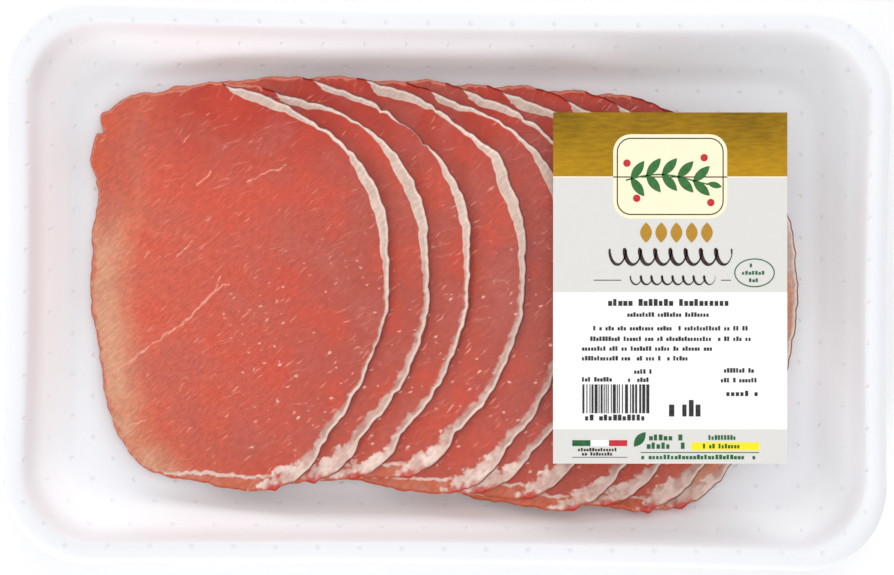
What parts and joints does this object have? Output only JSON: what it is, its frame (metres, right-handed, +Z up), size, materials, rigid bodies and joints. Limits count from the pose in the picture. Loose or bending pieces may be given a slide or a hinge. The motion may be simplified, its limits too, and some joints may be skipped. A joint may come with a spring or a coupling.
{
  "type": "pork loin slices pack",
  "caption": "Shallow white foam tray of thin shingled pork loin slices, each with a strip of fat, under a clear film with a flat label.",
  "frame": {"origin": "under the middle of the tray's base, on the surface the pack stands on", "axes": "+X along the tray's long side, towards the label; +Y across the tray, towards the label's ochre end; +Z up"},
  "size_m": [0.227, 0.1444, 0.0312],
  "materials": {
    "foam": "white expanded foam, smooth skin with small dimples",
    "lean": "moist raw meat, fine grained, rose red to pink orange, with pale flecks",
    "fat": "moist cream white fat with pinkish patches",
    "film": "thin clear taut plastic film, glossy",
    "label": "smooth printed paper, satin, with an ochre field above pale grey and white ones"
  },
  "bodies": {
    "root": {"tray": "foam", "slice_01_lean": "lean", "slice_01_fat": "fat", "slice_02_lean": "lean", "slice_02_fat": "fat", "slice_03_lean": "lean", "slice_03_fat": "fat", "slice_04_lean": "lean", "slice_04_fat": "fat", "slice_05_lean": "lean", "slice_05_fat": "fat", "slice_06_lean": "lean", "slice_06_fat": "fat", "slice_07_lean": "lean", "slice_07_fat": "fat", "slice_08_lean": "lean", "slice_08_fat": "fat", "slice_09_lean": "lean", "slice_09_fat": "fat", "slice_10_lean": "lean", "slice_10_fat": "fat", "slice_11_lean": "lean", "slice_11_fat": "fat", "film": "film", "label": "label"}
  },
  "joints": []
}
